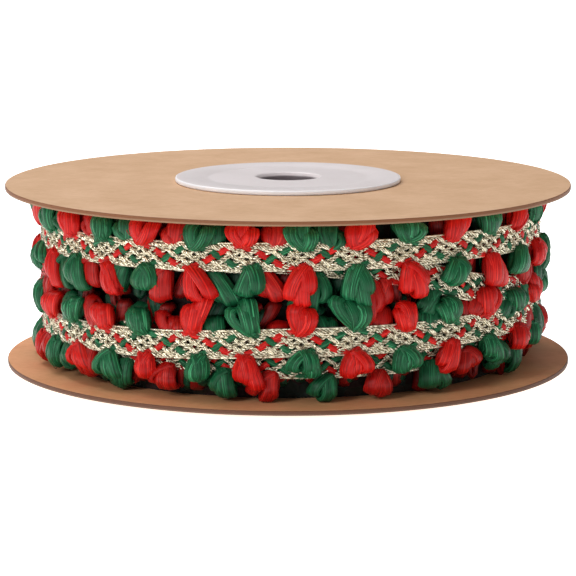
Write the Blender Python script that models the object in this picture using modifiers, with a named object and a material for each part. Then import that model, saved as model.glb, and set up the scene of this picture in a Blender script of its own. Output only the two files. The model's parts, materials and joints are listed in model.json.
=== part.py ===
"""Pom pom trim on its card spool: a gold knitted braid with red and green floss tufts on
both edges, wound round a plastic hub in two rows between two card flanges."""

import math

import bmesh
import bpy
import numpy as np
from mathutils import Vector

MM = 0.001
FIT = 0.3 * MM  # clearance between pieces that meet

# Card flanges
FLANGE_RADIUS = 50 * MM
CARD_THICKNESS = 0.8 * MM
CARD_TO_CARD = 31.8 * MM  # outer face to outer face

# Plastic hub, pressed through the cards from both ends
LIP_RADIUS = 20 * MM
LIP_THICKNESS = 0.6 * MM
LIP_ROUNDING = 0.25 * MM
DISH_RADIUS = 14.6 * MM  # the lip's face is dished inside this ring
DISH_DEPTH = 0.2 * MM
BARREL_RADIUS = 14.7 * MM
BARREL_WALL = 1.5 * MM
BORE_RADIUS = 5.3 * MM
BORE_WALL = 1.5 * MM
BORE_MOUTH_RADIUS = 6.5 * MM
BORE_MOUTH_DEPTH = 1.2 * MM
END_WALL = 1.6 * MM  # hub wall behind the dished face
HUB_STEPS = 40
FLANGE_STEPS = 64

HALF_HEIGHT = CARD_TO_CARD / 2 + FIT + LIP_THICKNESS
MIDDLE = Vector((0, 0, HALF_HEIGHT))  # the spool stands on its lower lip
INNER_FACE = CARD_TO_CARD / 2 - CARD_THICKNESS  # card's inner face from mid height

# The trim
BRAID_WIDTH = 4.5 * MM
TUFTS_PER_TURN = 31
TUFT_ANGLE = 360 / TUFTS_PER_TURN
WIND_RADIUS = 41.6 * MM  # the buried turns, as far as they show between the outer ones
WIND_COLUMNS = 72
WIND_ROWS = 24
BRAID_FLANK = 0.6 * MM  # how far a turn's edge slopes

# The path of the braid's last turns. Angles run on past 360 turn by turn, 0 is the front.
# Columns: angle in degrees, height of the braid's middle above mid height in mm,
# radius of its outer face in mm.
TRIM_PATH = (
    (-830, -5.5, 42.4),
    (-620, -5.5, 42.4),
    (-540, 9.0, 42.5),
    (-240, 9.0, 42.5),
    (-155, -7.0, 42.8),
    (-110, -7.0, 43.2),
    (-35, -7.4, 43.2),
    (0, -8.2, 43.2),
    (32, -8.2, 43.2),
    (46, -6.6, 43.2),
    (64, -6.5, 43.2),
    (134, 8.6, 43.4),
    (360, 8.8, 43.4),
    (380, 6.9, 43.4),
    (406, 5.4, 43.4),
    (423, 0.3, 43.4),
    (470, -7.3, 43.5),
    (560, -7.5, 44.6),
    (659, -7.1, 44.6),
    (692, -6.1, 44.6),
    (720, -4.9, 44.6),
    (820, -4.8, 44.6),
    (902, 9.4, 44.8),
    (1126, 9.4, 44.8),
    (1143, 8.9, 44.8),
    (1172, 8.9, 44.7),
)
PATH_ROUNDING = 7  # degrees either side over which the path's corners are rounded

# Floss locks: two make one tuft, fused at their roots to a narrow strip along the braid
STRIP_SIZE = 0.6 * MM
STRIP_PARTING = 0.3 * MM
ROOT_WIDTH = 1.1 * MM
BELLY_AT = 0.55  # share of the lock's length
BELLY_SPREAD = 1.55 * MM
BELLY_HALF_WIDTH = 1.4 * MM
BELLY_HALF_DEPTH = 0.8 * MM
TIP_SPREAD = 1.75 * MM
TIP_HALF_WIDTH = 1.2 * MM
TIP_HALF_DEPTH = 0.45 * MM
CARD_CLEARANCE = 0.6 * MM
SHORTEST_LOCK = 0.86  # uneven lengths, as a share of the full one

# Columns: node, path angles of the first tuft and the strip's end, edge of the braid
# (1 upper, -1 lower), lock length in mm, how far the tips lean out in mm, seed.
TUFT_STRIPS = (
    ("tufts_upper_edge", 560.3, 1170, 1, 3.0, 1.4, 1),
    ("tufts_lower_edge", 572.4, 1170, -1, 4.2, 1.2, 2),
    ("tufts_inner_turn", -57.8, 64, -1, 3.8, 0.4, 3),
)


def make_material(name, colour, roughness, metallic=0.0):
    material = bpy.data.materials.new(name)
    material.use_nodes = True
    shader = material.node_tree.nodes["Principled BSDF"]
    shader.inputs["Base Color"].default_value = (*colour, 1.0)
    shader.inputs["Roughness"].default_value = roughness
    shader.inputs["Metallic"].default_value = metallic
    return material


def add_part(name, mesh, material, collection):
    mesh.materials.append(material)
    part = bpy.data.objects.new(name, mesh)
    collection.objects.link(part)
    return part


def turned_part(name, profile, steps, material, collection):
    """A ring turned about the spool's axis. The closed profile runs down its outer side."""
    mesh = bpy.data.meshes.new(name)
    points = [(radius, 0, height) for radius, height in profile]
    edges = [(i, (i + 1) % len(points)) for i in range(len(points))]
    mesh.from_pydata(points, edges, [])
    part = add_part(name, mesh, material, collection)
    screw = part.modifiers.new("Turned", "SCREW")
    screw.angle = 2 * math.pi
    screw.steps = steps
    screw.render_steps = steps
    screw.use_merge_vertices = True
    screw.merge_threshold = 1e-5
    part.location = MIDDLE
    return part


def flange_profile(side):
    """A card disc at the upper (side 1) or lower (side -1) end, with a hole for the barrel."""
    hole = BARREL_RADIUS + FIT
    low, high = sorted((side * INNER_FACE, side * (INNER_FACE + CARD_THICKNESS)))
    return [(hole, high), (FLANGE_RADIUS, high), (FLANGE_RADIUS, low), (hole, low)]


def hub_profile(side):
    """Half a hub: lip, dished face, countersunk bore, and a barrel that reaches mid height."""
    face = HALF_HEIGHT
    lip_back = face - LIP_THICKNESS
    dish = face - DISH_DEPTH
    pocket = face - END_WALL
    meeting = FIT / 2
    profile = [
        (BORE_MOUTH_RADIUS, dish),
        (DISH_RADIUS - DISH_DEPTH, dish),
        (DISH_RADIUS + DISH_DEPTH, face),
        (LIP_RADIUS - LIP_ROUNDING, face),
        (LIP_RADIUS, face - LIP_ROUNDING),
        (LIP_RADIUS, lip_back),
        (BARREL_RADIUS, lip_back),
        (BARREL_RADIUS, meeting),
        (BARREL_RADIUS - BARREL_WALL, meeting),
        (BARREL_RADIUS - BARREL_WALL, pocket),
        (BORE_RADIUS + BORE_WALL, pocket),
        (BORE_RADIUS + BORE_WALL, meeting),
        (BORE_RADIUS, meeting),
        (BORE_RADIUS, dish - BORE_MOUTH_DEPTH),
    ]
    if side > 0:
        return profile
    return [(radius, -height) for radius, height in reversed(profile)]


def smoothed_path():
    """The path at every degree, its corners rounded: angles, heights and radii."""
    knots = np.array(TRIM_PATH)
    angles = np.arange(knots[0, 0], knots[-1, 0] + 1)
    spread = angles[:, None] + PATH_ROUNDING * np.linspace(-1, 1, 9)
    heights = np.interp(spread, knots[:, 0], knots[:, 1]).mean(axis=1)
    radii = np.interp(spread, knots[:, 0], knots[:, 2]).mean(axis=1)
    return angles, heights * MM, radii * MM


PATH_ANGLES, PATH_HEIGHTS, PATH_RADII = smoothed_path()


def trim_path(angle):
    """(height, outer radius) of the braid's middle at an angle along the trim."""
    height = np.interp(angle, PATH_ANGLES, PATH_HEIGHTS)
    radius = np.interp(angle, PATH_ANGLES, PATH_RADII)
    return float(height), float(radius)


def wound_radius(angle, height):
    """The wind's radius at an angle round the spool: the outermost turn that passes there."""
    first, last = TRIM_PATH[0][0], TRIM_PATH[-1][0]
    radius = WIND_RADIUS
    turn_angle = angle + 360 * math.ceil((first - angle) / 360)
    while turn_angle <= last:
        middle, outside = trim_path(turn_angle)
        inside_edge = BRAID_WIDTH / 2 + BRAID_FLANK - abs(height - middle)
        share = min(max(inside_edge / (2 * BRAID_FLANK), 0), 1)
        radius = max(radius, WIND_RADIUS + share * (outside - WIND_RADIUS))
        turn_angle += 360
    return radius


def make_wound_trim(material, collection):
    """The whole wind as one ring, its outside drawn out to each turn's band."""
    inner = BARREL_RADIUS + FIT
    reach = INNER_FACE - FIT
    heights = np.linspace(reach, -reach, WIND_ROWS)
    shape = bmesh.new()
    outside = [shape.verts.new((WIND_RADIUS, 0, height)) for height in heights]
    inside = [shape.verts.new((inner, 0, height)) for height in (-reach, reach)]
    loop = outside + inside
    edges = [shape.edges.new((loop[i - 1], loop[i])) for i in range(len(loop))]
    bmesh.ops.spin(
        shape, geom=loop + edges, cent=(0, 0, 0), axis=(0, 0, 1),
        angle=2 * math.pi, steps=WIND_COLUMNS, use_merge=True,
    )
    for vert in shape.verts:
        radius = math.hypot(vert.co.x, vert.co.y)
        if radius < (inner + WIND_RADIUS) / 2:
            continue
        angle = math.degrees(math.atan2(vert.co.x, -vert.co.y))
        stretch = wound_radius(angle, vert.co.z) / radius
        vert.co.x *= stretch
        vert.co.y *= stretch
    bmesh.ops.recalc_face_normals(shape, faces=shape.faces)
    mesh = bpy.data.meshes.new("wound_trim")
    shape.to_mesh(mesh)
    shape.free()
    part = add_part("wound_trim", mesh, material, collection)
    part.location = MIDDLE


def place(angle, radius, height):
    """A point of the spool, from mid height, at an angle measured from the front."""
    turn = math.radians(angle)
    return Vector((radius * math.sin(turn), -radius * math.cos(turn), height))


def strip_corners(angle, side):
    """The four corners of the backing strip beside the braid's upper (1) or lower (-1) edge."""
    middle, outside = trim_path(angle)
    near = middle + side * (BRAID_WIDTH / 2 + STRIP_PARTING)
    far = near + side * STRIP_SIZE
    inner = outside + FIT
    outer = inner + STRIP_SIZE
    return [
        place(angle, inner, near),
        place(angle, outer, near),
        place(angle, outer, far),
        place(angle, inner, far),
    ]


def lock_sections(angle, side, hand, length, lean):
    """The corners of one lock's belly and tip. hand is -1 or 1, for the tuft's two locks."""
    middle, outside = trim_path(angle)
    root_height = middle + side * (BRAID_WIDTH / 2 + STRIP_PARTING + STRIP_SIZE)
    room = INNER_FACE - CARD_CLEARANCE - side * root_height
    length = min(length, room)
    root_radius = outside + FIT + STRIP_SIZE / 2
    sections = (
        (BELLY_AT, 0.7, BELLY_SPREAD, BELLY_HALF_WIDTH, BELLY_HALF_DEPTH),
        (1.0, 1.0, TIP_SPREAD, TIP_HALF_WIDTH, TIP_HALF_DEPTH),
    )
    made = []
    for share, outward, spread, half_width, half_depth in sections:
        height = root_height + side * share * length
        radius = root_radius + outward * lean
        corners = []
        for along, out in ((-1, -1), (-1, 1), (1, 1), (1, -1)):
            turn = math.degrees((hand * spread + along * half_width) / radius)
            corners.append(place(angle + turn, radius + out * half_depth, height))
        made.append(corners)
    return made


def sweep_strip(shape, stations, side):
    """Draws the strip's end face on from station to station. Returns, for each stretch,
    the face that looks away from the braid."""
    ring = [shape.verts.new(corner) for corner in strip_corners(stations[0], side)]
    end_face = shape.faces.new(ring)
    edge_faces = []
    for angle in stations[1:]:
        grown = bmesh.ops.extrude_face_region(shape, geom=[end_face])["geom"]
        grown_verts = {item for item in grown if isinstance(item, bmesh.types.BMVert)}
        next_ring = []
        for old in ring:
            partners = {edge.other_vert(old) for edge in old.link_edges}
            next_ring += partners & grown_verts
        for vert, corner in zip(next_ring, strip_corners(angle, side)):
            vert.co = corner
        if edge_faces:
            bmesh.ops.delete(shape, geom=[end_face], context="FACES_ONLY")
        end_face = next(item for item in grown if isinstance(item, bmesh.types.BMFace))
        edge_verts = {ring[2], ring[3], next_ring[2], next_ring[3]}
        edge_faces.append(next(item for item in ring[2].link_faces if set(item.verts) == edge_verts))
        ring = next_ring
    return edge_faces


def alignment(first, second):
    return first.normalized().dot(second.normalized())


def grow_lock(shape, root, sections):
    """Draws a root face out to the lock's belly, and the belly out to its tip."""
    for corners in sections:
        root = bmesh.ops.extrude_discrete_faces(shape, faces=[root])["faces"][0]
        centre = sum(corners, Vector()) / len(corners)
        here = root.calc_center_median()
        remaining = list(corners)
        for vert in root.verts:
            offset = vert.co - here
            nearest = max(remaining, key=lambda corner: alignment(corner - centre, offset))
            remaining.remove(nearest)
            vert.co = nearest


def make_tufts(name, first, end, side, length_mm, lean_mm, seed, material, collection):
    """A backing strip along one edge of the braid, with a pair of locks at each tuft."""
    shape = bmesh.new()
    chance = np.random.default_rng(seed)
    tufts = np.arange(first, end, TUFT_ANGLE)
    root_turn = math.degrees(ROOT_WIDTH / trim_path(first)[1])
    stations = [tuft + turn for tuft in tufts for turn in (-root_turn, 0, root_turn)]
    edge_faces = sweep_strip(shape, stations, side)
    for index, tuft in enumerate(tufts):
        for hand, root in zip((-1, 1), edge_faces[3 * index : 3 * index + 2]):
            length = length_mm * MM * chance.uniform(SHORTEST_LOCK, 1)
            grow_lock(shape, root, lock_sections(tuft, side, hand, length, lean_mm * MM))
    bmesh.ops.recalc_face_normals(shape, faces=shape.faces)
    mesh = bpy.data.meshes.new(name)
    shape.to_mesh(mesh)
    shape.free()
    part = add_part(name, mesh, material, collection)
    part.location = MIDDLE


def main():
    for item in list(bpy.data.objects):
        bpy.data.objects.remove(item)
    collection = bpy.data.collections.new("pom_pom_trim")
    bpy.context.scene.collection.children.link(collection)

    card = make_material("kraft_card", (0.62, 0.42, 0.27), 0.85)
    plastic = make_material("hub_plastic", (0.68, 0.63, 0.64), 0.4)
    braid = make_material("gold_braid", (0.62, 0.5, 0.27), 0.45, 0.4)
    floss = make_material("tuft_floss", (0.55, 0.03, 0.03), 0.8)

    turned_part("flange_top", flange_profile(1), FLANGE_STEPS, card, collection)
    turned_part("flange_bottom", flange_profile(-1), FLANGE_STEPS, card, collection)
    turned_part("hub_top", hub_profile(1), HUB_STEPS, plastic, collection)
    turned_part("hub_bottom", hub_profile(-1), HUB_STEPS, plastic, collection)
    make_wound_trim(braid, collection)
    for strip in TUFT_STRIPS:
        make_tufts(*strip, floss, collection)


main()
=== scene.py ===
# Pom pom trim on its card spool: a seven strand flat braid of gold lurex with one red and
# one green floss strand, whose loops stand out along both edges, wound in two rows.

import json
import math

import bmesh
import bpy
import numpy as np
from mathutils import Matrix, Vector

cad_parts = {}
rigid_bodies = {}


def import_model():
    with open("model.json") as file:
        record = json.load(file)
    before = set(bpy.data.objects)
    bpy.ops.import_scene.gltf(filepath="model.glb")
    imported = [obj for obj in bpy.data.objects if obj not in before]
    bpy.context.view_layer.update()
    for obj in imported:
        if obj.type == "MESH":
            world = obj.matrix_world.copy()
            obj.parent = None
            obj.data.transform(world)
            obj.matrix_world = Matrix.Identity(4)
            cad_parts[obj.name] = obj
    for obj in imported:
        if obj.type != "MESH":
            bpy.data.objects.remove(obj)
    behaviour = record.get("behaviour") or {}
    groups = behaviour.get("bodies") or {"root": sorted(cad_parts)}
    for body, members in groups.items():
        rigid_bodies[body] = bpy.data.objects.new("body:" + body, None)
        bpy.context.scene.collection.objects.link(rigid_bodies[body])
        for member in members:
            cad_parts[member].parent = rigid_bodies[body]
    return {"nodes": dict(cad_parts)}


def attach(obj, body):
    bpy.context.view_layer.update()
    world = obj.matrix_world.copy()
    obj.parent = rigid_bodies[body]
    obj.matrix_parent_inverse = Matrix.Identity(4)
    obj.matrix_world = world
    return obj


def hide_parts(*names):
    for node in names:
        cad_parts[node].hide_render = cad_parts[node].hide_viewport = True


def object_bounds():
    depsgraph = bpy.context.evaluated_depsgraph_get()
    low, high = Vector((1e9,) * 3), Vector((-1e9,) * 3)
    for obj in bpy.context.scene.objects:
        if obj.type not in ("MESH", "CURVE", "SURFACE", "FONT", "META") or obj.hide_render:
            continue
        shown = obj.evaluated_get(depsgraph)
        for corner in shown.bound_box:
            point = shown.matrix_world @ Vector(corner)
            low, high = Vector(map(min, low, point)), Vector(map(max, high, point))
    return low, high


mm = 0.001


def hexToLinear(hexColour):
    channels = [int(hexColour[i : i + 2], 16) / 255 for i in (1, 3, 5)]
    linear = [c / 12.92 if c <= 0.04045 else ((c + 0.055) / 1.055) ** 2.4 for c in channels]
    return (*linear, 1.0)


def fillInputs(tree, node, sockets):
    # fills or links a node's inputs, by name or number
    for key, value in sockets.items():
        if isinstance(value, bpy.types.NodeSocket):
            tree.links.new(value, node.inputs[key])
        else:
            node.inputs[key].default_value = value


def addNode(tree, kind, sockets=None, stops=(), **settings):
    # stops are the places and colours of a colour ramp
    node = tree.nodes.new(kind)
    for option, value in settings.items():
        setattr(node, option, value)
    for number, (position, colour) in enumerate(stops):
        elements = node.color_ramp.elements
        element = elements[number] if number < len(elements) else elements.new(position)
        element.position = position
        element.color = hexToLinear(colour)
    fillInputs(tree, node, sockets or {})
    return node


def startMaterial(name):
    material = bpy.data.materials.new(name)
    material.use_nodes = True
    tree = material.node_tree
    return material, tree, tree.nodes["Principled BSDF"]


def startTree(name, inputs):
    # a geometry node tree with named inputs: name, socket type, starting value
    tree = bpy.data.node_groups.new(name, "GeometryNodeTree")
    tree.interface.new_socket("Geometry", in_out="INPUT", socket_type="NodeSocketGeometry")
    tree.interface.new_socket("Geometry", in_out="OUTPUT", socket_type="NodeSocketGeometry")
    for label, kind, value in inputs:
        socket = tree.interface.new_socket(label, in_out="INPUT", socket_type=kind)
        if value is not None:
            socket.default_value = value
    return tree, addNode(tree, "NodeGroupInput").outputs


def math1(tree, operation, first, second=0.0, third=0.0):
    return addNode(tree, "ShaderNodeMath", {0: first, 1: second, 2: third}, operation=operation).outputs[0]


def copyCurves(tree, curves, amount, label):
    # copies of each curve, which keep their number under a name
    copies = addNode(
        tree, "GeometryNodeDuplicateElements", {"Geometry": curves, "Amount": amount}, domain="SPLINE"
    )
    return addNode(
        tree, "GeometryNodeStoreNamedAttribute",
        {"Geometry": copies.outputs[0], "Name": label, "Value": copies.outputs[1]},
        data_type="FLOAT", domain="CURVE",
    ).outputs[0]


def sweepSection(tree, curves, sides, radius, scale):
    # an oval tube along each curve, which keeps how far round its section a point lies
    circle = addNode(tree, "GeometryNodeCurvePrimitiveCircle", {"Resolution": sides, "Radius": radius})
    share = math1(tree, "DIVIDE", addNode(tree, "GeometryNodeInputIndex").outputs[0], sides)
    kept = addNode(
        tree, "GeometryNodeStoreNamedAttribute",
        {"Geometry": circle.outputs[0], "Name": "section", "Value": share},
        data_type="FLOAT", domain="POINT",
    )
    scale = addNode(tree, "ShaderNodeCombineXYZ", dict(enumerate(scale))).outputs[0]
    section = addNode(tree, "GeometryNodeTransform", {"Geometry": kept.outputs[0], "Scale": scale})
    return addNode(
        tree, "GeometryNodeCurveToMesh",
        {"Curve": curves, "Profile Curve": section.outputs[0], "Fill Caps": True},
    ).outputs[0]


def finishTree(tree, mesh, place, material):
    # place is each corner's place in the UV map
    mapped = addNode(
        tree, "GeometryNodeStoreNamedAttribute", {"Geometry": mesh, "Name": "UVMap", "Value": place},
        data_type="FLOAT2", domain="CORNER",
    )
    whole = addNode(tree, "GeometryNodeRealizeInstances", {"Geometry": mapped.outputs[0]})
    finished = addNode(tree, "GeometryNodeSetMaterial", {"Geometry": whole.outputs[0], "Material": material})
    addNode(tree, "NodeGroupOutput", {0: finished.outputs[0]})
    return tree


def growPiece(name, guideMesh, tree, values):
    # runs a tree on a guide mesh and keeps the result as a plain mesh
    guide = bpy.data.objects.new(name + "Guide", guideMesh)
    bpy.context.scene.collection.objects.link(guide)
    modifier = guide.modifiers.new("Grow", "NODES")
    modifier.node_group = tree
    for item in tree.interface.items_tree:
        if item.in_out == "INPUT" and item.name in values:
            modifier[item.identifier] = values[item.name]
    depsgraph = bpy.context.evaluated_depsgraph_get()
    mesh = bpy.data.meshes.new_from_object(guide.evaluated_get(depsgraph), depsgraph=depsgraph)
    mesh.name = name
    bpy.data.objects.remove(guide)
    piece = bpy.data.objects.new(name, mesh)
    bpy.context.scene.collection.objects.link(piece)
    mesh.shade_smooth()
    print(name, len(mesh.polygons), "faces")
    return piece


for leftOver in list(bpy.data.objects):
    bpy.data.objects.remove(leftOver)
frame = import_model()
cadBox = [list(corner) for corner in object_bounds()]
print("frame loaded", sorted(frame["nodes"]))

spoolMiddle = (cadBox[0][2] + cadBox[1][2]) / 2
flangeRadius = (cadBox[1][0] - cadBox[0][0]) / 2


# Camera, floor and light

view = {
    "distance": 500 * mm,
    "elevation": 9.69,  # degrees above the spool's middle
    "aimBelowMiddle": 3.4 * mm,
    "lens": 174.9,
    "sensorWidth": 36,
    "nearest": 0.01,
}


def makeCamera():
    aim = Vector((0, 0, spoolMiddle - view["aimBelowMiddle"]))
    tilt = math.radians(view["elevation"])
    place = aim + view["distance"] * Vector((0, -math.cos(tilt), math.sin(tilt)))
    data = bpy.data.cameras.new("camera")
    data.sensor_width = view["sensorWidth"]
    data.lens = view["lens"]
    data.clip_start = view["nearest"]
    camera = bpy.data.objects.new("camera", data)
    camera.location = place
    camera.rotation_euler = (aim - place).to_track_quat("-Z", "Y").to_euler()
    bpy.context.scene.collection.objects.link(camera)
    bpy.context.scene.camera = camera
    print("camera placed")


studio = {
    "floorHalfSize": 4.0,
    "paperWhite": "#ffffff",
    "worldStrength": 0.3,
    # the paper's glow is painted light: none under the spool, and most just round it, lifting the spool's
    # shade where it falls
    "coveredTo": (40 * mm, 49 * mm),
    "rimTo": (55 * mm, 120 * mm),
    "shadeFillGlow": 0.95,
    "paperGlow": 0.72,
    # name, place in metres, width in metres, watts
    "softBoxes": (
        ("overheadSoftBox", (-0.25, 0.25, 0.8), 0.6, 5.6),
        ("frontSoftBox", (-0.65, -0.75, 0.5), 0.35, 4.9),
        ("sideSoftBox", (0.8, -0.5, 0.3), 0.25, 0.3),
    ),
}


def makeStudio():
    half = studio["floorHalfSize"]
    white = hexToLinear(studio["paperWhite"])
    mesh = bpy.data.meshes.new("floor")
    corners = [(-half, -half, 0), (half, -half, 0), (half, half, 0), (-half, half, 0)]
    mesh.from_pydata(corners, [], [(0, 1, 2, 3)])
    floor = bpy.data.objects.new("floor", mesh)
    bpy.context.scene.collection.objects.link(floor)
    # seamless background paper, flat white
    material, tree, shader = startMaterial("white background paper")
    place = addNode(tree, "ShaderNodeTexCoord").outputs["Object"]
    radius = addNode(tree, "ShaderNodeVectorMath", {0: place}, operation="LENGTH").outputs["Value"]
    coverStart, coverEnd = studio["coveredTo"]
    covered = addNode(tree, "ShaderNodeMapRange", {0: radius, 1: coverStart, 2: coverEnd})
    rimStart, rimEnd = studio["rimTo"]
    # painted light: the glow is strongest just round the spool, where it lifts the spool's shade
    glow = addNode(
        tree, "ShaderNodeMapRange",
        {0: radius, 1: rimStart, 2: rimEnd, 3: studio["shadeFillGlow"], 4: studio["paperGlow"]},
    )
    strength = math1(tree, "MULTIPLY", covered.outputs[0], glow.outputs[0])
    look = {"Base Color": white, "Roughness": 0.9, "Emission Color": white, "Emission Strength": strength}
    fillInputs(tree, shader, look)
    mesh.materials.append(material)
    world = bpy.data.worlds.new("studio")
    world.use_nodes = True
    background = world.node_tree.nodes["Background"]
    fillInputs(world.node_tree, background, {"Color": white, "Strength": studio["worldStrength"]})
    bpy.context.scene.world = world
    for name, place, size, watts in studio["softBoxes"]:
        data = bpy.data.lights.new(name, "AREA")
        data.size = size
        data.energy = watts
        light = bpy.data.objects.new(name, data)
        light.location = place
        aim = Vector((0, 0, spoolMiddle)) - light.location
        light.rotation_euler = aim.to_track_quat("-Z", "Y").to_euler()
        bpy.context.scene.collection.objects.link(light)
    bpy.context.scene.view_settings.view_transform = "Standard"
    print("studio lit")


# Card flanges and plastic hub

spool = {
    "cardThickness": 0.8 * mm,
    "cardToCard": 31.8 * mm,  # outer face to outer face
    "cardHoleRadius": 15 * mm,
    "cardRounding": 0.12 * mm,
    "cardSegments": 256,
    "lipRadius": 20 * mm,
    "lipThickness": 0.88 * mm,
    "dishRadius": 14.6 * mm,
    "dishDepth": 0.2 * mm,
    "dishSlope": 0.5 * mm,  # from the dish's ring out to the lip's face
    "grooveWidth": 0.9 * mm,  # just inside the ring
    "grooveWall": 0.1 * mm,  # from its deepest place to the ring
    "grooveDepth": 0.06 * mm,
    "barrelRadius": 14.7 * mm,
    "barrelWall": 1.5 * mm,
    "barrelGap": 0.15 * mm,  # from the end of a half to mid height
    "boreRadius": 5.3 * mm,
    "boreWall": 1.5 * mm,
    "boreMouth": 5.75 * mm,
    "boreMouthDepth": 0.66 * mm,  # below the face
    "collarTop": 6.6 * mm,  # radii of the low collar round the bore
    "collarFoot": 9.6 * mm,
    "endWall": 1.6 * mm,
    "plasticRounding": 0.3 * mm,
    "hubSegments": 192,
}


def turnedRing(name, profile, rounding, segments):
    # profile: (radius, height above the spool's middle) round a closed section
    shape = bmesh.new()
    loop = [shape.verts.new((radius, 0, spoolMiddle + height)) for radius, height in profile]
    edges = [shape.edges.new((loop[i - 1], loop[i])) for i in range(len(loop))]
    bmesh.ops.spin(
        shape, geom=loop + edges, cent=(0, 0, 0), axis=(0, 0, 1),
        angle=2 * math.pi, steps=segments, use_merge=True,
    )
    bmesh.ops.recalc_face_normals(shape, faces=shape.faces)
    mesh = bpy.data.meshes.new(name)
    shape.to_mesh(mesh)
    shape.free()
    mesh.shade_smooth()
    piece = bpy.data.objects.new(name, mesh)
    bpy.context.scene.collection.objects.link(piece)
    bevel = piece.modifiers.new("Rounded edges", "BEVEL")
    bevel.width = rounding
    bevel.segments = 2
    bevel.angle_limit = math.radians(30)
    bevel.harden_normals = True
    return piece


def cardProfile(side):
    outer = spool["cardToCard"] / 2
    hole = spool["cardHoleRadius"]
    low, high = sorted((side * outer, side * (outer - spool["cardThickness"])))
    return [(hole, high), (flangeRadius, high), (flangeRadius, low), (hole, low)]


def hubProfile(side):
    face = (cadBox[1][2] - cadBox[0][2]) / 2
    dish = face - spool["dishDepth"]
    pocket = face - spool["endWall"]
    lipBack = face - spool["lipThickness"]
    meeting = spool["barrelGap"]
    barrelInside = spool["barrelRadius"] - spool["barrelWall"]
    boreOutside = spool["boreRadius"] + spool["boreWall"]
    profile = [
        (spool["boreMouth"], face),
        (spool["collarTop"], face),
        (spool["collarFoot"], dish),
        (spool["dishRadius"] - spool["grooveWidth"], dish),
        (spool["dishRadius"] - spool["grooveWall"], dish - spool["grooveDepth"]),
        (spool["dishRadius"] + spool["dishSlope"], face),
        (spool["lipRadius"], face),
        (spool["lipRadius"], lipBack),
        (spool["barrelRadius"], lipBack),
        (spool["barrelRadius"], meeting),
        (barrelInside, meeting),
        (barrelInside, pocket),
        (boreOutside, pocket),
        (boreOutside, meeting),
        (spool["boreRadius"], meeting),
        (spool["boreRadius"], face - spool["boreMouthDepth"]),
    ]
    return [(radius, side * height) for radius, height in profile]


kraft = {
    "outerLiner": ("#c39a73", "#d4ac88"),
    # painted shade: a warmer, browner tone for the faces between the cards
    "innerFacesShadeTone": ("#cc9062", "#dda375"),
    "linerSpread": (0.36, 0.64),  # of the pulp's pattern, between a liner's two tones
    "rimPlies": ("#8a674a", "#754420"),  # the lower ply, then the upper one
    "lowerRimShadedPlies": ("#694e3c", "#5a331b"),  # painted shade: darker plies for the lower card's rim, as that rim looks
    "plySpread": (0.3, 0.42),  # of the card's thickness, where one ply meets the other
    "mottlesPerMetre": 140.0,
    "fibresPerMetre": 900.0,
    "fibreStretch": (1.0, 4.0, 1.0),
    "fibreRelief": 0.05 * mm,
    "rimDepth": (0.16 * mm, 0.06 * mm),  # where the faces' colour ends and the rim's begins
}


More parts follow.
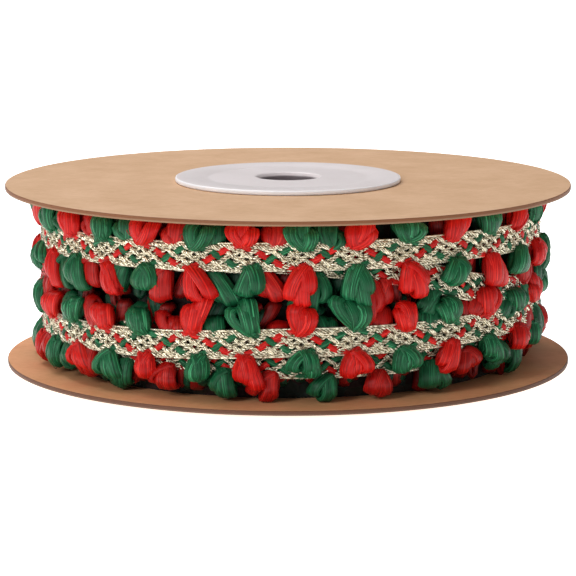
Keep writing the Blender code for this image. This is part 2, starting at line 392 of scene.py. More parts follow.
def kraftCard():
    # kraft paperboard: tan outer liner, matt with pulp fibres and soft mottling; the faces
    # between the cards get a browner tone as painted shade; the die-cut rim is burnished dark over a paler
    # ply
    material, tree, shader = startMaterial("kraft paperboard")
    place = addNode(tree, "ShaderNodeTexCoord").outputs["Object"]
    mottle = addNode(
        tree, "ShaderNodeTexNoise", {"Vector": place, "Scale": kraft["mottlesPerMetre"], "Detail": 4.0}
    )
    drawn = addNode(tree, "ShaderNodeMapping", {"Vector": place, "Scale": kraft["fibreStretch"]})
    fibre = addNode(
        tree, "ShaderNodeTexNoise",
        {"Vector": drawn.outputs[0], "Scale": kraft["fibresPerMetre"], "Detail": 3.0},
    )
    mixed = math1(tree, "MULTIPLY_ADD", fibre.outputs["Fac"], 0.5, 0.0)
    mixed = math1(tree, "MULTIPLY_ADD", mottle.outputs["Fac"], 0.5, mixed)

    def twoTone(amount, spread, colours):
        stops = tuple(zip(spread, colours))
        return addNode(tree, "ShaderNodeValToRGB", {"Fac": amount}, stops).outputs["Color"]

    def blend(amount, first, second):
        sockets = {0: amount, 6: first, 7: second}
        return addNode(tree, "ShaderNodeMix", sockets, data_type="RGBA").outputs[2]

    # the outer half of each card's thickness shows the outer liner; the inner half, facing the other card,
    # takes the browner painted-shade tone
    height = addNode(tree, "ShaderNodeSeparateXYZ", {0: place}).outputs[2]
    fromMiddle = math1(tree, "SUBTRACT", height, spoolMiddle)
    cardCentre = spool["cardToCard"] / 2 - spool["cardThickness"] / 2
    outerSide = math1(tree, "GREATER_THAN", math1(tree, "ABSOLUTE", fromMiddle), cardCentre)
    inner = twoTone(mixed, kraft["linerSpread"], kraft["innerFacesShadeTone"])
    outer = twoTone(mixed, kraft["linerSpread"], kraft["outerLiner"])
    faces = blend(outerSide, inner, outer)

    # height within the card, 0 at its lower face
    cardMiddle = math1(tree, "MULTIPLY", math1(tree, "SIGN", fromMiddle), cardCentre)
    share = math1(tree, "SUBTRACT", fromMiddle, cardMiddle)
    share = math1(tree, "DIVIDE", share, spool["cardThickness"])
    share = math1(tree, "ADD", share, 0.5)
    # painted shade: the lower card's rim takes the darker copy of the plies
    layers = blend(
        math1(tree, "LESS_THAN", fromMiddle, 0.0),
        twoTone(share, kraft["plySpread"], kraft["rimPlies"]),
        twoTone(share, kraft["plySpread"], kraft["lowerRimShadedPlies"]),
    )
    flat = addNode(tree, "ShaderNodeVectorMath", {0: place, 1: (1.0, 1.0, 0.0)}, operation="MULTIPLY")
    radius = addNode(tree, "ShaderNodeVectorMath", {0: flat.outputs[0]}, operation="LENGTH")
    rimStart, rimEnd = (flangeRadius - depth for depth in kraft["rimDepth"])
    rim = addNode(tree, "ShaderNodeMapRange", {0: radius.outputs["Value"], 1: rimStart, 2: rimEnd})
    relief = {"Height": fibre.outputs["Fac"], "Strength": 0.25, "Distance": kraft["fibreRelief"]}
    look = {
        "Base Color": blend(rim.outputs[0], faces, layers),
        "Normal": addNode(tree, "ShaderNodeBump", relief).outputs["Normal"],
        "Roughness": 0.62,
        "Specular IOR Level": 0.5,
    }
    fillInputs(tree, shader, look)
    return material


plastic = {
    "milky": ((0.3, "#d6cdcd"), (0.7, "#ddd4d5")),
    # painted shade: the bore wall's dark grey
    "boreWall": "#7d7275",
    "litRim": "#f4f3fb",
    "hazePerMetre": 120.0,
    "grainsPerMetre": 2500.0,
    "grainRelief": 0.02 * mm,
    "rimDepth": 0.2 * mm,
    "boreDepth": 0.3 * mm,  # how far into the bore's wall its colour goes
    "boreBlend": 0.1 * mm,
    "lightReach": 1.5 * mm,
}


def frostedPolypropylene():
    # natural polypropylene, injection moulded: milky, slightly see-through, satin
    material, tree, shader = startMaterial("natural polypropylene")
    place = addNode(tree, "ShaderNodeTexCoord").outputs["Object"]
    haze = addNode(
        tree, "ShaderNodeTexNoise", {"Vector": place, "Scale": plastic["hazePerMetre"], "Detail": 3.0}
    )
    milky = addNode(tree, "ShaderNodeValToRGB", {"Fac": haze.outputs["Fac"]}, plastic["milky"])
    # painted shade: the bore wall, below its countersink, is painted dark grey, as hardly any light comes
    # down it
    flat = addNode(tree, "ShaderNodeVectorMath", {0: place, 1: (1.0, 1.0, 0.0)}, operation="MULTIPLY")
    radius = addNode(tree, "ShaderNodeVectorMath", {0: flat.outputs[0]}, operation="LENGTH")
    radius = radius.outputs["Value"]
    inBore = math1(tree, "LESS_THAN", radius, spool["boreRadius"] + plastic["boreDepth"])
    height = addNode(tree, "ShaderNodeSeparateXYZ", {0: place}).outputs[2]
    fromMiddle = math1(tree, "ABSOLUTE", math1(tree, "SUBTRACT", height, spoolMiddle))
    mouth = spoolMiddle - spool["boreMouthDepth"]
    ends = {1: mouth - plastic["boreBlend"], 2: mouth + plastic["boreBlend"]}
    deep = addNode(tree, "ShaderNodeMapRange", {0: fromMiddle, **ends, 3: 1.0, 4: 0.0})
    dark = math1(tree, "MULTIPLY", inBore, deep.outputs[0])
    tones = {0: dark, 6: milky.outputs["Color"], 7: hexToLinear(plastic["boreWall"])}
    shaded = addNode(tree, "ShaderNodeMix", tones, data_type="RGBA")
    # light let through the lip leaves it at its rim
    atRim = math1(tree, "GREATER_THAN", radius, spool["lipRadius"] - plastic["rimDepth"])
    tones = {0: atRim, 6: shaded.outputs[2], 7: hexToLinear(plastic["litRim"])}
    lit = addNode(tree, "ShaderNodeMix", tones, data_type="RGBA")
    grain = addNode(
        tree, "ShaderNodeTexNoise", {"Vector": place, "Scale": plastic["grainsPerMetre"], "Detail": 2.0}
    )
    relief = {"Height": grain.outputs["Fac"], "Strength": 0.1, "Distance": plastic["grainRelief"]}
    look = {
        "Base Color": lit.outputs[2],
        "Normal": addNode(tree, "ShaderNodeBump", relief).outputs["Normal"],
        "Roughness": 0.42,
        "IOR": 1.49,
        "Subsurface Weight": 0.6,
        "Subsurface Radius": (1.0, 0.95, 0.95),
        "Subsurface Scale": plastic["lightReach"],
    }
    fillInputs(tree, shader, look)
    return material


def makeSpool():
    cardMaterial = kraftCard()
    hubMaterial = frostedPolypropylene()
    for side, end in ((1, "top"), (-1, "bottom")):
        name = "cardFlange" + end.capitalize()
        flange = turnedRing(name, cardProfile(side), spool["cardRounding"], spool["cardSegments"])
        flange.data.materials.append(cardMaterial)
        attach(flange, "root")
        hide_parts("flange_" + end)
        name = "hub" + end.capitalize()
        hub = turnedRing(name, hubProfile(side), spool["plasticRounding"], spool["hubSegments"])
        hub.data.materials.append(hubMaterial)
        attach(hub, "root")
        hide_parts("hub_" + end)
    print("spool made")


# The path of the braid's last turns, running on past 360 turn by turn. 0 is the front.

trimPath = {
    "cornerRounding": 7,  # degrees either side
    # angle in degrees, height of the braid's middle in mm, radius of its outer face in mm
    "knots": (
        (-830, -5.5, 42.4),
        (-620, -5.5, 42.4),
        (-540, 9.0, 42.5),
        (-240, 9.0, 42.5),
        (-155, -7.0, 42.8),
        (-110, -7.0, 43.2),
        (-35, -8.0, 43.2),
        (0, -8.9, 43.2),
        (32, -8.7, 43.2),
        (46, -6.6, 43.2),
        (64, -6.5, 43.2),
        (134, 8.6, 43.4),
        (200, 7.9, 43.0),
        (270, 7.6, 42.6),
        (334, 8.4, 43.2),
        (360, 8.8, 43.4),
        (380, 6.9, 43.5),
        (388, 5.8, 43.9),
        (400, 2.9, 44.3),
        (408, 1.5, 44.4),
        (416, 0.8, 44.4),
        (430, -1.6, 44.2),
        (470, -7.3, 43.5),
        (560, -7.5, 44.3),
        (630, -7.3, 43.7),
        (659, -7.1, 43.9),
        (692, -6.1, 44.6),
        (720, -4.9, 44.6),
        (820, -4.8, 44.6),
        (902, 8.1, 44.5),
        (990, 7.9, 43.8),
        (1019, 8.1, 44.0),
        (1054, 8.8, 44.6),
        (1080, 9.3, 44.8),
        (1126, 9.4, 44.8),
        (1143, 8.9, 44.8),
        (1172, 8.9, 44.7),
    ),
}


def pathAt(angles):
    # middle of the braid's outer face, its outward and forward directions, and the one across it
    knots = np.array(trimPath["knots"])
    angles = np.asarray(angles, float)
    spread = angles[:, None] + trimPath["cornerRounding"] * np.linspace(-1, 1, 9)
    heights = np.interp(spread, knots[:, 0], knots[:, 1]).mean(axis=1) * mm
    radii = np.interp(spread, knots[:, 0], knots[:, 2]).mean(axis=1) * mm
    turn = np.radians(angles)
    outward = np.stack([np.sin(turn), -np.cos(turn), np.zeros_like(turn)], axis=1)
    around = np.stack([np.cos(turn), np.sin(turn), np.zeros_like(turn)], axis=1)
    slope = np.gradient(heights, turn)
    forward = around * radii[:, None] + np.outer(slope, (0, 0, 1))
    forward /= np.linalg.norm(forward, axis=1)[:, None]
    across = np.cross(outward, forward)
    middle = outward * radii[:, None] + np.outer(spoolMiddle + heights, (0, 0, 1))
    return middle, outward, forward, across


def addAttribute(mesh, name, kind, values):
    attribute = mesh.attributes.new(name, kind, "POINT")
    key = "vector" if kind == "FLOAT_VECTOR" else "value"
    attribute.data.foreach_set(key, np.ascontiguousarray(values, np.float32).ravel())


def pathGuide(name, start, end):
    # a polyline along the braid's mid thickness, with the directions that the strands use
    angles = np.arange(start, end + 0.5, 1.0)
    middle, outward, _, across = pathAt(angles)
    middle = middle - braid["depth"] * outward
    mesh = bpy.data.meshes.new(name)
    mesh.from_pydata(middle.tolist(), [(i, i + 1) for i in range(len(angles) - 1)], [])
    addAttribute(mesh, "turnAngle", "FLOAT", angles)
    addAttribute(mesh, "outward", "FLOAT_VECTOR", outward)
    addAttribute(mesh, "across", "FLOAT_VECTOR", across)
    return mesh


# The braid: seven strands that cross over and under by turns

braid = {
    "strands": 7,
    "tuftsPerTurn": 31,  # along one edge, red and green together
    "greenTopAngle": 1082.9,  # a place where the green strand turns at the upper edge
    "redAfterGreen": 3 / 7,  # of a repeat
    "halfWidth": 1.95 * mm,
    "lift": 0.24 * mm,
    "depth": 0.5 * mm,  # of the braid's middle below its outer face
    "edgeEasing": 1.35,  # how far round a strand swings where it turns at an edge
    "levelEnds": (0.4, 0.9),  # of a crossing: level up to the first, full lift from the second
    "plyOffset": 0.36 * mm,
    "plyFlatness": 0.6,  # of the twist's depth against its width
    "plyRadius": 0.17 * mm,
    "plyTwist": 6.5,  # twists of a gold strand in a repeat of the braid
    "strandTwistStep": 0.37,  # of a twist, from one strand to the next
    "singleRadius": 0.45 * mm,  # of a gold strand drawn as one ply
    "singleFlatness": 0.5,
    "cordOutside": 0.38 * mm,  # of an edge cord's middle beyond the half width
    "cordRadius": 0.19 * mm,
    "cordRepeat": 1e7,  # degrees: a cord has no zigzag, so its repeat is as good as endless
    "flossRadius": 0.6 * mm,
    "flossFlatness": 0.5,
    "unevenness": 0.12 * mm,
    "unevenPerRepeat": 5.0,
    "step": 0.46 * mm,
    "cordStep": 1.3,  # times the step of its turns
    # name, first and last path angle, plies of a gold strand, times the step
    "turns": (
        ("OuterTurns", 480, 1172, 4, 1.0),
        ("InnerTurns", -155, 480, 3, 1.4),
        ("BuriedTurns", -1180, -155, 1, 3.0),
    ),
}
repeatAngle = 2 * 360 / braid["tuftsPerTurn"]


def plaitTree():
    tree, given = startTree(
        "plaitedStrands",
        (
            ("Strand Count", "NodeSocketInt", 5),
            ("First Phase", "NodeSocketFloat", 0.0),
            ("Phase Step", "NodeSocketFloat", 1 / 7),
            ("Repeat Angle", "NodeSocketFloat", 23.2),
            ("Plait Strands", "NodeSocketFloat", 7.0),
            ("Half Width", "NodeSocketFloat", 0.002),
            ("Lift", "NodeSocketFloat", 0.0002),
            ("Plies", "NodeSocketInt", 3),
            ("Ply Offset", "NodeSocketFloat", 0.0003),
            ("Ply Twist", "NodeSocketFloat", 2.0),
            ("Radius", "NodeSocketFloat", 0.0002),
            ("Flatness", "NodeSocketFloat", 1.0),
            ("Sides", "NodeSocketInt", 4),
            ("Step", "NodeSocketFloat", 0.0005),
            ("Unevenness", "NodeSocketFloat", 0.0002),
            ("Material", "NodeSocketMaterial", None),
        ),
    )
    path = addNode(tree, "GeometryNodeMeshToCurve", {"Mesh": given["Geometry"]})
    path = addNode(
        tree, "GeometryNodeResampleCurve", {"Curve": path.outputs[0], "Length": given["Step"]}, mode="LENGTH"
    )
    strands = copyCurves(tree, path.outputs[0], given["Strand Count"], "strand")
    plies = copyCurves(tree, strands, given["Plies"], "ply")
    strand, ply, angle, section = (
        addNode(tree, "GeometryNodeInputNamedAttribute", {"Name": label}, data_type="FLOAT").outputs[0]
        for label in ("strand", "ply", "turnAngle", "section")
    )
    across, outward = (
        addNode(tree, "GeometryNodeInputNamedAttribute", {"Name": label}, data_type="FLOAT_VECTOR").outputs[0]
        for label in ("across", "outward")
    )

    # the strand's place in its zigzag: 0 at the upper edge, a half at the lower edge
    shifted = math1(tree, "MULTIPLY_ADD", strand, given["Phase Step"], given["First Phase"])
    phase = math1(tree, "ADD", math1(tree, "DIVIDE", angle, given["Repeat Angle"]), shifted)
    height = math1(tree, "MULTIPLY_ADD", math1(tree, "PINGPONG", phase, 0.5), -4.0, 1.0)
    rounded = math1(tree, "SINE", math1(tree, "MULTIPLY", height, braid["edgeEasing"]))
    zigzag = math1(tree, "MULTIPLY", rounded, given["Half Width"])

    # over and under at each crossing, level where it turns at an edge
    doubled = math1(tree, "MULTIPLY", given["Plait Strands"], 2.0)
    crossing = math1(tree, "FLOORED_MODULO", math1(tree, "MULTIPLY", phase, doubled), given["Plait Strands"])
    fromEnd = math1(tree, "MINIMUM", crossing, math1(tree, "SUBTRACT", given["Plait Strands"], crossing))
    levelTo, fullFrom = braid["levelEnds"]
    ends = {0: fromEnd, 1: levelTo, 2: fullFrom, 3: 0.0, 4: -1.0}
    window = addNode(tree, "ShaderNodeMapRange", ends).outputs[0]
    wave = math1(tree, "COSINE", math1(tree, "MULTIPLY", crossing, math.pi))
    overUnder = math1(tree, "MULTIPLY", math1(tree, "MULTIPLY", wave, window), given["Lift"])

    # plies twist round the strand's own middle
    plyShare = math1(tree, "DIVIDE", ply, given["Plies"])
    plyTurn = math1(tree, "MULTIPLY_ADD", phase, given["Ply Twist"], plyShare)
    ownTwist = math1(tree, "MULTIPLY", strand, braid["strandTwistStep"])
    plyTurn = math1(tree, "MULTIPLY", math1(tree, "ADD", plyTurn, ownTwist), math.tau)
    plyAcross = math1(tree, "MULTIPLY", math1(tree, "COSINE", plyTurn), given["Ply Offset"])
    plyDepth = math1(tree, "MULTIPLY", given["Ply Offset"], braid["plyFlatness"])
    plyOut = math1(tree, "MULTIPLY", math1(tree, "SINE", plyTurn), plyDepth)

    # hand of the machine: no two crossings quite alike
    where = addNode(tree, "ShaderNodeCombineXYZ", {0: phase, 1: strand, 2: ply})
    stray = addNode(
        tree, "ShaderNodeTexNoise",
        {"Vector": where.outputs[0], "Scale": braid["unevenPerRepeat"], "Detail": 1.0},
    )
    strayAcross = math1(tree, "SUBTRACT", stray.outputs["Fac"], 0.5)
    strayAcross = math1(tree, "MULTIPLY", strayAcross, given["Unevenness"])
    plyAcross = math1(tree, "MULTIPLY_ADD", strayAcross, 2.0, plyAcross)

    moveAcross = addNode(
        tree, "ShaderNodeVectorMath",
        {0: across, "Scale": math1(tree, "ADD", zigzag, plyAcross)}, operation="SCALE",
    )
    moveOut = addNode(
        tree, "ShaderNodeVectorMath",
        {0: outward, "Scale": math1(tree, "ADD", overUnder, plyOut)}, operation="SCALE",
    )
    move = {0: moveAcross.outputs[0], 1: moveOut.outputs[0]}
    move = addNode(tree, "ShaderNodeVectorMath", move, operation="ADD").outputs[0]
    moved = addNode(tree, "GeometryNodeSetPosition", {"Geometry": plies, "Offset": move})
    upright = addNode(tree, "GeometryNodeSetCurveNormal", {"Curve": moved.outputs[0]}, mode="Z_UP")
    scale = (given["Flatness"], 1.0, 1.0)
    tube = sweepSection(tree, upright.outputs[0], given["Sides"], given["Radius"], scale)
    around = math1(tree, "MULTIPLY_ADD", section, 0.25, strand)
    place = addNode(tree, "ShaderNodeCombineXYZ", {0: around, 1: phase})
    return finishTree(tree, tube, place.outputs[0], given["Material"])


lurex = {
    "facetsPerMetre": 3200.0,
    "tones": ((0.05, "#6c5d3b"), (0.7, "#f8f0d6")),
    "facetRelief": 0.1 * mm,
}


def goldLurex():
    # lurex: slit metallised film wound on a core, so pale gold with small hard glints
    material, tree, shader = startMaterial("pale gold lurex yarn")
    place = addNode(tree, "ShaderNodeTexCoord").outputs["Object"]
    facet = addNode(tree, "ShaderNodeTexVoronoi", {"Vector": place, "Scale": lurex["facetsPerMetre"]})
    tones = addNode(tree, "ShaderNodeValToRGB", {"Fac": facet.outputs["Color"]}, lurex["tones"])
    relief = {"Height": facet.outputs["Distance"], "Strength": 0.6, "Distance": lurex["facetRelief"]}
    look = {
        "Base Color": tones.outputs["Color"],
        "Normal": addNode(tree, "ShaderNodeBump", relief).outputs["Normal"],
        "Metallic": 0.7,
        "Roughness": 0.26,
    }
    fillInputs(tree, shader, look)
    return material


flossLook = {
    "toneStops": (0.3, 0.55, 0.74),
    "bundles": (58.0, 2.0, 1.0),  # round a lobe and along it
    "filaments": (90.0, 3.0, 1.0),
    "filamentRelief": 0.12 * mm,
    # name, then dark, middle and light tones; the turns further in are painted shade, with
    # deeper tones, as they lie in the shade of the outer ones
    "colours": {
        "red": ("red polyester floss", "#780302", "#bd0b06", "#f03a2d"),
        "green": ("green polyester floss", "#062d1b", "#0f5431", "#4bb077"),
        "redinner": ("red polyester floss, inner turns, painted shade", "#6c0302", "#a30b07", "#d0382c"),
        "greeninner": ("green polyester floss, inner turns, painted shade", "#052818", "#104f2f", "#368a5c"),
        "redburied": ("red polyester floss, buried turns, painted shade", "#3c0403", "#780d0a", "#98221b"),
        "greenburied": ("green polyester floss, buried turns, painted shade", "#03170d", "#0b3824", "#1c5a3d"),
    },
}


def floss(name, *tones):
    # untwisted polyester floss: hundreds of bright filaments side by side, silky along the loop
    material, tree, shader = startMaterial(name)
    surface = addNode(tree, "ShaderNodeUVMap", uv_map="UVMap").outputs["UV"]
    drawn = addNode(tree, "ShaderNodeMapping", {"Vector": surface, "Scale": flossLook["bundles"]})
    bundles = addNode(
        tree, "ShaderNodeTexNoise",
        {"Vector": drawn.outputs[0], "Scale": 1.0, "Detail": 3.0, "Distortion": 0.7},
    )
    stops = tuple(zip(flossLook["toneStops"], tones))
    colour = addNode(tree, "ShaderNodeValToRGB", {"Fac": bundles.outputs["Fac"]}, stops)
    fine = addNode(tree, "ShaderNodeMapping", {"Vector": surface, "Scale": flossLook["filaments"]})
    filaments = addNode(tree, "ShaderNodeTexNoise", {"Vector": fine.outputs[0], "Scale": 1.0, "Detail": 2.0})
    relief = {
        "Height": filaments.outputs["Fac"], "Strength": 0.5, "Distance": flossLook["filamentRelief"],
    }
    look = {
        "Base Color": colour.outputs["Color"],
        "Normal": addNode(tree, "ShaderNodeBump", relief).outputs["Normal"],
        "Roughness": 0.38,
        "Specular IOR Level": 0.2,
        "Sheen Weight": 0.05,
        "Sheen Roughness": 0.4,
        "Sheen Tint": hexToLinear(tones[-1]),
    }
    fillInputs(tree, shader, look)
    return material


def makeBraid(materials):
    tree = plaitTree()
    greenPhase = -braid["greenTopAngle"] / repeatAngle
    common = {
        "Repeat Angle": repeatAngle,
        "Plait Strands": float(braid["strands"]),
        "Half Width": braid["halfWidth"],
        "Lift": braid["lift"],
        "Unevenness": braid["unevenness"],
        "Plies": 1,
        "Ply Offset": 0.0,
    }
    pieces = []
    for turns, start, end, plies, coarser in braid["turns"]:
        single = plies == 1
        step = braid["step"] * coarser
        # strand 0 is green and strand 3 is red, so gold takes 1 and 2, then 4 to 6
        for run, count, first in ((1, 2, 1), (2, 3, 4)):
            values = {
                **common,
                "Strand Count": count,
                "First Phase": greenPhase - first / braid["strands"],
                "Phase Step": -1 / braid["strands"],
                "Plies": plies,
                "Ply Offset": 0.0 if single else braid["plyOffset"],
                "Ply Twist": braid["plyTwist"],
                "Radius": braid["singleRadius"] if single else braid["plyRadius"],
                "Flatness": braid["singleFlatness"] if single else 1.0,
                "Sides": 4,
                "Step": step,
                "Material": materials["gold"],
            }
            name = f"gold{turns}{run}"
            gold = growPiece(name, pathGuide(name, start, end), tree, values)
            pieces.append(gold)
        if not single:
            # a straight cord binds each edge
            values = {
                **common,
                "Half Width": braid["halfWidth"] + braid["cordOutside"],
                "Repeat Angle": braid["cordRepeat"],
                "Strand Count": 2,
                "Phase Step": 0.5,
                "Radius": braid["cordRadius"],
                "Sides": 5,
                "Step": step * braid["cordStep"],
                "Material": materials["gold"],
            }
            name = "goldEdge" + turns
            cord = growPiece(name, pathGuide(name, start, end), tree, values)
            pieces.append(cord)
        for colour, after in (("green", 0.0), ("red", braid["redAfterGreen"])):
            values = {
                **common,
                "Strand Count": 1,
                "First Phase": greenPhase - after,
                "Radius": braid["flossRadius"],
                "Flatness": braid["flossFlatness"],
                "Sides": 6,
                "Step": step,
                "Material": materials[colour],
            }
            name = f"{colour}Strand{turns}"
            strand = growPiece(name, pathGuide(name, start, end), tree, values)
            pieces.append(strand)
    for piece in pieces:
        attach(piece, "root")
    print("braid made")


# Loop tufts: each a loop of floss that fans into lobes, folds over and comes back to its root

tufts = {
    "rootBeyondEdge": 0.45 * mm,  # of the braid, before it is drawn in
    "lobeHalfWidth": 1.4 * mm,
    "lobeHalfThickness": 0.68 * mm,
    "ridges": 0.32 * mm,
    "ridgesRound": 16.0,
    "pinch": 0.3,  # a lobe's thickness at its root, of that in its belly
    "scatter": 0.2,
    "opening": 0.6,  # how far the side lobes turn from the middle one, in radians
    "seed": 3,
    "frontBulge": 0.56,  # shares of the bulge on a loop's way out and on its way back
    "backBulge": -0.44,
    "filamentRadius": 0.06 * mm,
    "filamentsPerTuft": 7,
    "filamentScatter": 0.3,
    "filamentSeed": 11,
    "shortestLoop": 1.2 * mm,
    "topGap": 0.3 * mm,  # kept clear of the cards
    "rootSeed": 7,
    # least and most: degrees, a root's place over the edge, shares of a row's measures, the lean
    "angleChance": (-1.2, 1.2),
    "rootOverEdge": (0.05 * mm, 0.95 * mm),
    "lengthChance": (0.75, 1.12),
    "bulgeChance": (0.8, 1.15),
    "spreadChance": (0.45, 1.2),
    "leanChance": (-0.45, 0.45),
    # layer, edge, first and last path angle, angle of a tuft's root, colour of that tuft,
    # length, bulge, spread and lift of the root in mm
    "rows": (
        ("outer", "upper", 556.0, 1134, 560.3, "red", 4.3, 2.6, 2.7, -0.2),
        ("outer", "upper", 1134.0, 1170, 560.3, "red", 4.4, 2.0, 2.7, -0.6),
        ("outer", "lower", 566.0, 688, 572.4, "red", 4.5, 2.7, 2.7, -0.2),
        ("outer", "lower", 688.0, 770, 572.4, "red", 4.0, 2.5, 2.6, 0.0),
        ("outer", "lower", 770.0, 1098, 572.4, "red", 4.9, 2.7, 2.7, -0.2),
        ("outer", "lower", 1098.0, 1170, 572.4, "red", 4.3, 2.5, 2.7, 0.1),
        ("inner", "upper", 64.0, 378, 566.0, "red", 4.6, 2.6, 2.8, -0.3),
        ("inner", "upper", 378.0, 424, 563.3, "red", 4.2, 1.2, 2.8, -1.2),
        ("inner", "upper", 424.0, 556, 566.0, "red", 4.6, 2.6, 2.8, -0.3),
        ("inner", "lower", 64.0, 378, 563.6, "red", 5.8, 2.8, 3.0, -0.3),
        ("inner", "lower", 378.0, 430, 569.0, "red", 4.2, 1.6, 2.8, -0.8),
        ("inner", "lower", 430.0, 566, 563.6, "red", 5.8, 2.8, 2.8, -0.3),
        ("inner", "upper", -155.0, 64, -49.5, "red", 6.0, 2.2, 2.8, -0.8),
        ("inner", "lower", -155.0, 64, -61.0, "green", 4.4, 2.6, 3.2, -0.1),
        ("buried", "upper", -1180.0, -155, 3.0, "red", 5.4, 1.3, 3.2, -1.0),
        ("buried", "lower", -1180.0, -155, 1.0, "green", 6.4, 1.3, 3.2, -1.0),
    ),
    # lobes, points round a lobe, rings along it, filaments standing off
    "detail": {
        "outer": (3, 27, 15, True),
        "inner": (3, 14, 13, False),
        "buried": (2, 12, 11, False),
    },
}


def tuftTree():
    tree, given = startTree(
        "loopTufts",
        (
            ("Lobes", "NodeSocketInt", 3),
            ("Sides", "NodeSocketInt", 24),
            ("Ridges", "NodeSocketFloat", 0.0001),
            ("Half Width", "NodeSocketFloat", 0.001),
            ("Half Thickness", "NodeSocketFloat", 0.0006),
            ("Pinch", "NodeSocketFloat", 0.35),
            ("Scatter", "NodeSocketFloat", 0.12),
            ("Opening", "NodeSocketFloat", 0.6),
            ("Seed", "NodeSocketInt", 1),
            ("Material", "NodeSocketMaterial", None),
        ),
    )

    def named(label, kind="FLOAT"):
        return addNode(tree, "GeometryNodeInputNamedAttribute", {"Name": label}, data_type=kind).outputs[0]

    def scaled(vector, amount):
        sockets = {0: vector, "Scale": amount}
        return addNode(tree, "ShaderNodeVectorMath", sockets, operation="SCALE").outputs[0]

    def added(first, second):
        return addNode(tree, "ShaderNodeVectorMath", {0: first, 1: second}, operation="ADD").outputs[0]

    root, away, forward, outward = (
        named(label, "FLOAT_VECTOR") for label in ("root", "away", "forward", "outward")
    )
    along = named("along")
    lobe = named("lobe")
    loops = addNode(tree, "GeometryNodeMeshToCurve", {"Mesh": given["Geometry"]})
    lobes = copyCurves(tree, loops.outputs[0], given["Lobes"], "lobe")
    key = math1(tree, "MULTIPLY_ADD", named("tuft"), 64.0, lobe)

    def chance(step):
        seed = math1(tree, "ADD", given["Seed"], float(step))
        drawn = {"ID": key, "Seed": seed, 2: -1.0, 3: 1.0}
        value = addNode(tree, "FunctionNodeRandomValue", drawn, data_type="FLOAT").outputs[1]
        return math1(tree, "MULTIPLY", value, given["Scatter"])

    # side is about -1 for the first lobe and 1 for the last, and side lobes are shorter
    last = math1(tree, "MAXIMUM", math1(tree, "SUBTRACT", given["Lobes"], 1.0), 1.0)
    side = math1(tree, "MULTIPLY_ADD", math1(tree, "DIVIDE", lobe, last), 2.0, -1.0)
    side = math1(tree, "MULTIPLY_ADD", chance(1), 2.2, side)
    shorter = math1(tree, "MULTIPLY_ADD", math1(tree, "MULTIPLY", side, side), -0.12, 1.0)
    length = math1(tree, "MULTIPLY", named("length"), math1(tree, "ADD", shorter, chance(2)))

    # out from the root and back to it, in front on the way out and behind on the way back
    turn = math1(tree, "MULTIPLY", along, math.tau)
    reach = math1(tree, "MULTIPLY_ADD", math1(tree, "COSINE", turn), -0.5, 0.5)
    sine = math1(tree, "SINE", turn)
    front = math1(tree, "MAXIMUM", math1(tree, "MULTIPLY", sine, -1.0), 0.0)
    back = math1(tree, "MAXIMUM", sine, 0.0)
    back = math1(tree, "MULTIPLY", back, tufts["backBulge"])
    outline = math1(tree, "MULTIPLY_ADD", front, tufts["frontBulge"], back)
    pinched = math1(tree, "MULTIPLY", outline, math1(tree, "POWER", reach, 0.3))
    bulge = math1(tree, "MULTIPLY", named("bulge"), math1(tree, "ADD", 1.0, chance(3)))
    out = math1(tree, "MULTIPLY", pinched, bulge)
    fan = math1(tree, "MULTIPLY", math1(tree, "MULTIPLY", side, 0.5), named("spread"))
    fan = math1(tree, "MULTIPLY", fan, math1(tree, "POWER", reach, 0.7))
    reached = math1(tree, "MULTIPLY", reach, length)
    swing = math1(tree, "MULTIPLY", reached, math1(tree, "ADD", named("lean"), chance(4)))

    # side lobes open like petals, so the loops close round the root seen from any side
    yaw = math1(tree, "MULTIPLY_ADD", side, given["Opening"], math1(tree, "MULTIPLY", chance(5), 1.5))
    yawCosine = math1(tree, "COSINE", yaw)
    yawSine = math1(tree, "SINE", yaw)
    ahead = added(scaled(outward, yawCosine), scaled(forward, yawSine))
    turned = math1(tree, "MULTIPLY", yawSine, -1.0)
    sideways = added(scaled(forward, yawCosine), scaled(outward, turned))

    move = added(scaled(away, reached), scaled(ahead, out))
    move = added(move, scaled(forward, math1(tree, "ADD", fan, swing)))
    placed = added(root, move)
    moved = addNode(tree, "GeometryNodeSetPosition", {"Geometry": lobes, "Position": placed})

    # thin where it is bound in the braid, full in its belly
    skewed = math1(tree, "POWER", along, 1.5)
    arc = math1(tree, "POWER", math1(tree, "SINE", math1(tree, "MULTIPLY", skewed, math.pi)), 0.7)
    fullness = math1(tree, "MULTIPLY_ADD", arc, math1(tree, "SUBTRACT", 1.0, given["Pinch"]), given["Pinch"])
    thick = addNode(tree, "GeometryNodeSetCurveRadius", {"Curve": moved.outputs[0], "Radius": fullness})
    facing = addNode(
        tree, "GeometryNodeSetCurveNormal",
        {"Curve": thick.outputs[0], "Normal": sideways}, mode="FREE",
    )

    scale = (given["Half Width"], given["Half Thickness"], 1.0)
    tube = sweepSection(tree, facing.outputs[0], given["Sides"], 1.0, scale)
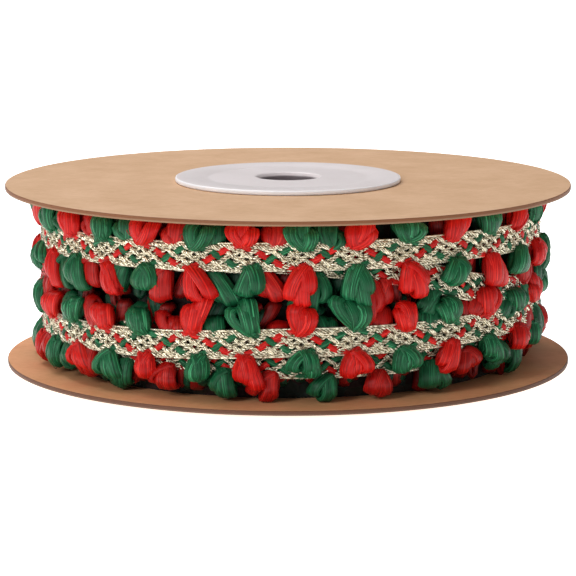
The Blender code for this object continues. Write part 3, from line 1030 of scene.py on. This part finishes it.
    # bundles of filaments stand out along the lobe, other ones on every lobe
    section = named("section")
    across = math1(tree, "MULTIPLY", section, tufts["ridgesRound"])
    down = math1(tree, "MULTIPLY", along, 1.5)
    own = math1(tree, "MULTIPLY", key, 0.73)
    where = addNode(tree, "ShaderNodeCombineXYZ", {0: across, 1: down, 2: own})
    bundle = addNode(tree, "ShaderNodeTexNoise", {"Vector": where.outputs[0], "Scale": 1.0, "Detail": 1.0})
    height = math1(tree, "MULTIPLY", math1(tree, "SUBTRACT", bundle.outputs["Fac"], 0.5), given["Ridges"])
    normal = addNode(tree, "GeometryNodeInputNormal").outputs[0]
    offset = scaled(normal, math1(tree, "MULTIPLY", height, 2.0))
    raised = addNode(tree, "GeometryNodeSetPosition", {"Geometry": tube, "Offset": offset})
    around = math1(tree, "ADD", section, math1(tree, "MULTIPLY", key, 0.31))
    place = addNode(tree, "ShaderNodeCombineXYZ", {0: around, 1: along})
    return finishTree(tree, raised.outputs[0], place.outputs[0], given["Material"])


def tuftRoots(row, colour, chance):
    # one entry for each tuft of a colour in a row
    edge, start, end, phase, phaseColour, length, bulge, spread, lift = row[1:]
    pitch = 360 / braid["tuftsPerTurn"]
    sign = 1 if edge == "upper" else -1
    cardFace = spoolMiddle + sign * (spool["cardToCard"] / 2 - spool["cardThickness"] - tufts["topGap"])
    roots = []
    for count in range(math.ceil((start - phase) / pitch), math.floor((end - phase) / pitch) + 1):
        isPhaseColour = count % 2 == 0
        if isPhaseColour != (colour == phaseColour):
            continue
        angle = phase + count * pitch + chance.uniform(*tufts["angleChance"])
        middle, outward, forward, across = (v[1] for v in pathAt([angle - 0.5, angle, angle + 0.5]))
        overEdge = chance.uniform(*tufts["rootOverEdge"])
        edgeHeight = braid["halfWidth"] + tufts["rootBeyondEdge"] - overEdge
        root = middle + sign * edgeHeight * across
        root = root + lift * mm * outward
        toCard = sign * (cardFace - root[2]) - tufts["lobeHalfThickness"]
        wanted = length * mm * chance.uniform(*tufts["lengthChance"])
        roots.append(
            {
                "root": root,
                "away": sign * across,
                "forward": forward,
                "outward": outward,
                "length": min(wanted, max(toCard, tufts["shortestLoop"])),
                "bulge": bulge * mm * chance.uniform(*tufts["bulgeChance"]),
                "spread": spread * mm * chance.uniform(*tufts["spreadChance"]),
                "lean": chance.uniform(*tufts["leanChance"]),
            }
        )
    return roots


def tuftGuide(name, roots, rings):
    # a short polyline for each tuft, with what the tree needs kept on its points
    points = []
    edges = []
    for number, root in enumerate(roots):
        first = number * rings
        points += [tuple(root["root"] + root["away"] * mm * step) for step in range(rings)]
        edges += [(first + step, first + step + 1) for step in range(rings - 1)]
    mesh = bpy.data.meshes.new(name)
    mesh.from_pydata(points, edges, [])
    for key in ("root", "away", "forward", "outward"):
        addAttribute(mesh, key, "FLOAT_VECTOR", np.repeat([root[key] for root in roots], rings, axis=0))
    for key in ("length", "bulge", "spread", "lean"):
        addAttribute(mesh, key, "FLOAT", np.repeat([root[key] for root in roots], rings))
    addAttribute(mesh, "tuft", "FLOAT", np.repeat(np.arange(len(roots)), rings))
    addAttribute(mesh, "along", "FLOAT", np.tile(np.linspace(0, 1, rings), len(roots)))
    return mesh


def makeTufts(materials):
    tree = tuftTree()
    chance = np.random.default_rng(tufts["rootSeed"])
    standsFor = {
        "redTuftsOuterUpper": "tufts_upper_edge",
        "redTuftsOuterLower": "tufts_lower_edge",
        "redTuftsInnerLower": "tufts_inner_turn",
    }
    kinds = [
        (layer, edge, colour)
        for layer in tufts["detail"] for edge in ("upper", "lower") for colour in ("red", "green")
    ]
    for layer, edge, colour in kinds:
        lobes, sides, rings, hairy = tufts["detail"][layer]
        rows = [row for row in tufts["rows"] if row[:2] == (layer, edge)]
        roots = [root for row in rows for root in tuftRoots(row, colour, chance)]
        name = f"{colour}Tufts{layer.capitalize()}{edge.capitalize()}"
        loops = {
            "Lobes": lobes,
            "Sides": sides,
            "Ridges": tufts["ridges"],
            "Half Width": tufts["lobeHalfWidth"],
            "Half Thickness": tufts["lobeHalfThickness"],
            "Pinch": tufts["pinch"],
            "Scatter": tufts["scatter"],
            "Opening": tufts["opening"],
            "Seed": tufts["seed"],
            "Material": materials[colour + ("" if layer == "outer" else layer)],
        }
        pieces = [growPiece(name, tuftGuide(name, roots, rings), tree, loops)]
        if hairy:
            filaments = {
                **loops,
                "Lobes": tufts["filamentsPerTuft"],
                "Sides": 3,
                "Ridges": 0.0,
                "Half Width": tufts["filamentRadius"],
                "Half Thickness": tufts["filamentRadius"],
                "Pinch": 1.0,
                "Scatter": tufts["filamentScatter"],
                "Seed": tufts["filamentSeed"],
            }
            pieces.append(growPiece(name + "Filaments", tuftGuide(name, roots, rings), tree, filaments))
        for piece in pieces:
            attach(piece, "root")
        if name in standsFor:
            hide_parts(standsFor[name])
    print("tufts made")


# What shows deep between the turns: more of the same trim, lost in shade

windCore = {
    "innerRadius": 0.030,
    "radius": 39.6 * mm,
    "swell": 1.1 * mm,  # out under each row
    "swellAt": 8 * mm,  # height of a row's middle from mid height
    "swellHalf": 15 * mm,
    "halfSections": 12,
    "segments": 96,
    "rounding": 0.05 * mm,
    "patchesPerMetre": 420.0,
    "patches": ((0.0, "#0a1812"), (0.5, "#200a0a"), (0.75, "#1d1a12")),
    "relief": 1.0 * mm,
}


def makeWindCore():
    # matted floss and yarn with no light on it: near black and matt, in patches
    material, tree, shader = startMaterial("wound trim in deep shade")
    place = addNode(tree, "ShaderNodeTexCoord").outputs["Object"]
    cells = addNode(tree, "ShaderNodeTexVoronoi", {"Vector": place, "Scale": windCore["patchesPerMetre"]})
    patches = addNode(tree, "ShaderNodeValToRGB", {"Fac": cells.outputs["Color"]}, windCore["patches"])
    patches.color_ramp.interpolation = "CONSTANT"
    relief = {"Height": cells.outputs["Distance"], "Strength": 1.0, "Distance": windCore["relief"]}
    look = {
        "Base Color": patches.outputs["Color"],
        "Normal": addNode(tree, "ShaderNodeBump", relief).outputs["Normal"],
        "Roughness": 0.9,
    }
    fillInputs(tree, shader, look)
    reach = spool["cardToCard"] / 2 - spool["cardThickness"]
    profile = [(windCore["innerRadius"], reach)]
    for step in range(2 * windCore["halfSections"] + 1):
        height = reach * (1 - step / windCore["halfSections"])
        swell = math.cos(math.pi * (abs(height) - windCore["swellAt"]) / windCore["swellHalf"])
        profile.append((windCore["radius"] + windCore["swell"] * swell, height))
    profile.append((windCore["innerRadius"], -reach))
    core = turnedRing("woundCore", profile, windCore["rounding"], windCore["segments"])
    core.data.materials.append(material)
    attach(core, "root")
    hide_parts("wound_trim")
    print("core made")


makeCamera()
makeStudio()
makeSpool()
trimMaterials = {key: floss(*tones) for key, tones in flossLook["colours"].items()}
trimMaterials["gold"] = goldLurex()
makeBraid(trimMaterials)
makeTufts(trimMaterials)
makeWindCore()
